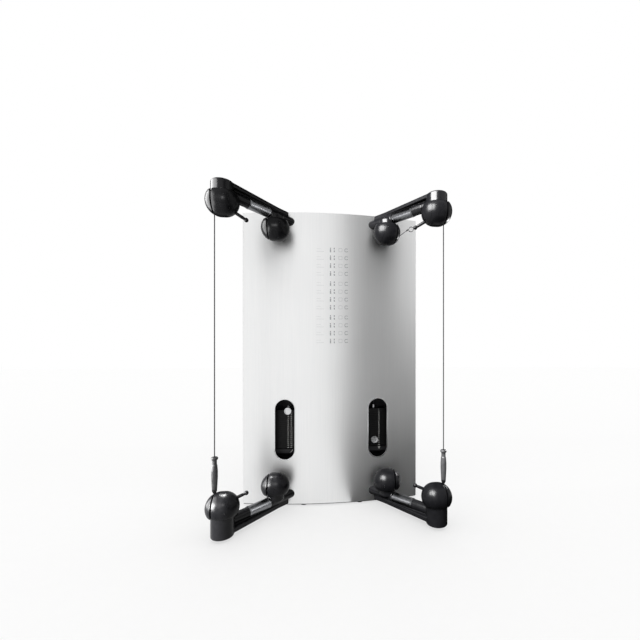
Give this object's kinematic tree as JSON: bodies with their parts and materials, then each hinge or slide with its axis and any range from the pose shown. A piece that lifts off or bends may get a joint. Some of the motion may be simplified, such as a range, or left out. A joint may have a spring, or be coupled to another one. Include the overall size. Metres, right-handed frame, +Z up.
{
  "type": "cable machine",
  "caption": "Wall-standing cable machine: bowed metal front panel between black corner arms with swivelling ball-shaped pulley heads, side cables with grips, and pin-selected weight stacks.",
  "frame": {"origin": "On the floor under the middle support foot: centre of the width, on the frame's centre line", "axes": "+X to the right seen from the front, -Y to the user, +Z up"},
  "size_m": [1.47, 0.6695, 2.074],
  "materials": {
    "frame_paint": "satin black powder coat",
    "foot_rubber": "matte",
    "panel_aluminium": "satin anodised sheet",
    "rim_steel": "bright edge",
    "cover_paint": "satin black powder coat",
    "screw_steel": "plated",
    "bright_steel": "polished",
    "weight_iron": "satin black",
    "cable_steel": "steel rope in clear jacket",
    "arm_casting": "gloss black powder coat on cast aluminium",
    "sleeve_grey": "satin grey anodised",
    "pulley_nylon": "moulded",
    "head_gloss": "gloss black moulding",
    "grip_black": "moulded grip"
  },
  "bodies": {
    "machine_frame": {"base_plate": "frame_paint", "levelling_feet": "foot_rubber", "uprights": "frame_paint", "upper_crossbeam": "frame_paint", "lower_crossbeam": "frame_paint", "stack_shelf": "frame_paint", "panel_clips": "frame_paint", "front_panel": "panel_aluminium", "window_rims": "rim_steel", "left_side_cover": "cover_paint", "right_side_cover": "cover_paint", "rear_cover": "cover_paint", "top_cover": "cover_paint", "rear_cover_screws": "screw_steel", "wall_brackets": "frame_paint", "guide_rods": "bright_steel", "stack_bumpers": "foot_rubber", "left_resting_plates": "weight_iron", "right_resting_plates": "weight_iron", "pulley_brackets": "frame_paint", "stack_cables": "cable_steel", "arm_cables": "cable_steel", "left_top_arm": "arm_casting", "right_top_arm": "arm_casting", "left_bottom_arm": "arm_casting", "right_bottom_arm": "arm_casting", "arm_sleeves": "sleeve_grey"},
    "left_lift": {"left_head_plate": "weight_iron", "left_stem": "bright_steel"},
    "left_pin_body": {"left_pin": "bright_steel"},
    "left_stack_pulley_body": {"left_stack_pulley": "pulley_nylon"},
    "left_top_swivel": {"left_top_head": "head_gloss", "left_top_lever": "head_gloss", "left_cable": "cable_steel"},
    "left_bottom_swivel": {"left_bottom_head": "head_gloss", "left_bottom_lever": "head_gloss"},
    "left_grip_body": {"left_grip": "grip_black"},
    "left_top_pulley_body": {"left_top_pulley": "pulley_nylon"},
    "left_bottom_pulley_body": {"left_bottom_pulley": "pulley_nylon"},
    "left_top_inner_swivel": {"left_top_inner_head": "head_gloss"},
    "left_top_inner_pulley_body": {"left_top_inner_pulley": "pulley_nylon"},
    "left_bottom_inner_swivel": {"left_bottom_inner_head": "head_gloss"},
    "left_bottom_inner_pulley_body": {"left_bottom_inner_pulley": "pulley_nylon"},
    "right_lift": {"right_picked_plates": "weight_iron", "right_stem": "bright_steel"},
    "right_pin_body": {"right_pin": "bright_steel"},
    "right_stack_pulley_body": {"right_stack_pulley": "pulley_nylon"},
    "right_top_swivel": {"right_top_head": "head_gloss", "right_top_lever": "head_gloss", "right_cable": "cable_steel"},
    "right_bottom_swivel": {"right_bottom_head": "head_gloss", "right_bottom_lever": "head_gloss"},
    "right_grip_body": {"right_grip": "grip_black"},
    "right_top_pulley_body": {"right_top_pulley": "pulley_nylon"},
    "right_bottom_pulley_body": {"right_bottom_pulley": "pulley_nylon"},
    "right_top_inner_swivel": {"right_top_inner_head": "head_gloss", "pull_cable_and_ring": "cable_steel"},
    "right_top_inner_pulley_body": {"right_top_inner_pulley": "pulley_nylon"},
    "right_bottom_inner_swivel": {"right_bottom_inner_head": "head_gloss"},
    "right_bottom_inner_pulley_body": {"right_bottom_inner_pulley": "pulley_nylon"}
  },
  "joints": [
    {"name": "left_stack_lift", "type": "slide", "parent": "machine_frame", "child": "left_lift", "axis": [0, 0, 1], "range_m": [0, 0.6]},
    {"name": "left_pin_pull", "type": "slide", "parent": "left_lift", "child": "left_pin_body", "axis": [0, -1, 0], "range_m": [0, 0.052]},
    {"name": "left_stack_pulley_spin", "type": "hinge", "parent": "machine_frame", "child": "left_stack_pulley_body", "pos_m": [-0.278, 0.035, 1.899], "axis": [0, 1, 0], "range_deg": [0, 859.5]},
    {"name": "left_top_head_swivel", "type": "hinge", "parent": "machine_frame", "child": "left_top_swivel", "pos_m": [-0.64, -0.48, 1.951], "axis": [0, 0, 1], "range_deg": [-150, 150]},
    {"name": "left_bottom_head_swivel", "type": "hinge", "parent": "machine_frame", "child": "left_bottom_swivel", "pos_m": [-0.64, -0.48, 0.184], "axis": [0, 0, 1], "range_deg": [-150, 150]},
    {"name": "left_grip_travel", "type": "slide", "parent": "left_top_swivel", "child": "left_grip_body", "axis": [0, 0, 1], "range_m": [0, 1.2]},
    {"name": "left_top_pulley_spin", "type": "hinge", "parent": "left_top_swivel", "child": "left_top_pulley_body", "pos_m": [-0.684, -0.448, 1.939], "axis": [1, 0, 0], "range_deg": [-2148.6, 0]},
    {"name": "left_bottom_pulley_spin", "type": "hinge", "parent": "left_bottom_swivel", "child": "left_bottom_pulley_body", "pos_m": [-0.684, -0.448, 0.196], "axis": [1, 0, 0], "range_deg": [-2148.6, 0]},
    {"name": "left_top_inner_head_swivel", "type": "hinge", "parent": "machine_frame", "child": "left_top_inner_swivel", "pos_m": [-0.3827, -0.18605, 1.922], "axis": [0, 0, 1], "range_deg": [-120, 120]},
    {"name": "left_top_inner_pulley_spin", "type": "hinge", "parent": "left_top_inner_swivel", "child": "left_top_inner_pulley_body", "pos_m": [-0.4267, -0.17005, 1.901], "axis": [1, 0, 0], "continuous": true},
    {"name": "left_bottom_inner_head_swivel", "type": "hinge", "parent": "machine_frame", "child": "left_bottom_inner_swivel", "pos_m": [-0.3827, -0.18605, 0.183], "axis": [0, 0, 1], "range_deg": [-120, 120]},
    {"name": "left_bottom_inner_pulley_spin", "type": "hinge", "parent": "left_bottom_inner_swivel", "child": "left_bottom_inner_pulley_body", "pos_m": [-0.4267, -0.17005, 0.204], "axis": [1, 0, 0], "continuous": true},
    {"name": "right_stack_lift", "type": "slide", "parent": "machine_frame", "child": "right_lift", "axis": [0, 0, 1], "range_m": [0, 0.6]},
    {"name": "right_pin_pull", "type": "slide", "parent": "right_lift", "child": "right_pin_body", "axis": [0, -1, 0], "range_m": [0, 0.052]},
    {"name": "right_stack_pulley_spin", "type": "hinge", "parent": "machine_frame", "child": "right_stack_pulley_body", "pos_m": [0.278, 0.035, 1.899], "axis": [0, 1, 0], "range_deg": [-859.5, 0]},
    {"name": "right_top_head_swivel", "type": "hinge", "parent": "machine_frame", "child": "right_top_swivel", "pos_m": [0.64, -0.48, 1.951], "axis": [0, 0, 1], "range_deg": [-150, 150]},
    {"name": "right_bottom_head_swivel", "type": "hinge", "parent": "machine_frame", "child": "right_bottom_swivel", "pos_m": [0.64, -0.48, 0.184], "axis": [0, 0, 1], "range_deg": [-150, 150]},
    {"name": "right_grip_travel", "type": "slide", "parent": "right_top_swivel", "child": "right_grip_body", "axis": [0, 0, 1], "range_m": [0, 1.2]},
    {"name": "right_top_pulley_spin", "type": "hinge", "parent": "right_top_swivel", "child": "right_top_pulley_body", "pos_m": [0.684, -0.448, 1.939], "axis": [1, 0, 0], "range_deg": [-2148.6, 0]},
    {"name": "right_bottom_pulley_spin", "type": "hinge", "parent": "right_bottom_swivel", "child": "right_bottom_pulley_body", "pos_m": [0.684, -0.448, 0.196], "axis": [1, 0, 0], "range_deg": [-2148.6, 0]},
    {"name": "right_top_inner_head_swivel", "type": "hinge", "parent": "machine_frame", "child": "right_top_inner_swivel", "pos_m": [0.3827, -0.18605, 1.922], "axis": [0, 0, 1], "range_deg": [-110, 0]},
    {"name": "right_top_inner_pulley_spin", "type": "hinge", "parent": "right_top_inner_swivel", "child": "right_top_inner_pulley_body", "pos_m": [0.42129, -0.15954, 1.901], "axis": [0.9682, 0.2503, 0], "continuous": true},
    {"name": "right_bottom_inner_head_swivel", "type": "hinge", "parent": "machine_frame", "child": "right_bottom_inner_swivel", "pos_m": [0.3827, -0.18605, 0.183], "axis": [0, 0, 1], "range_deg": [-120, 120]},
    {"name": "right_bottom_inner_pulley_spin", "type": "hinge", "parent": "right_bottom_inner_swivel", "child": "right_bottom_inner_pulley_body", "pos_m": [0.4267, -0.17005, 0.204], "axis": [1, 0, 0], "continuous": true}
  ],
  "couplings": [
    {"joint": "left_stack_pulley_spin", "follows": "left_stack_lift", "rad_per_m": 25},
    {"joint": "left_bottom_head_swivel", "follows": "left_top_head_swivel", "ratio": 1},
    {"joint": "left_grip_travel", "follows": "left_stack_lift", "ratio": 2},
    {"joint": "left_top_pulley_spin", "follows": "left_stack_lift", "rad_per_m": -62.5},
    {"joint": "left_bottom_pulley_spin", "follows": "left_stack_lift", "rad_per_m": -62.5},
    {"joint": "right_stack_pulley_spin", "follows": "right_stack_lift", "rad_per_m": -25},
    {"joint": "right_bottom_head_swivel", "follows": "right_top_head_swivel", "ratio": 1},
    {"joint": "right_grip_travel", "follows": "right_stack_lift", "ratio": 2},
    {"joint": "right_top_pulley_spin", "follows": "right_stack_lift", "rad_per_m": -62.5},
    {"joint": "right_bottom_pulley_spin", "follows": "right_stack_lift", "rad_per_m": -62.5}
  ]
}
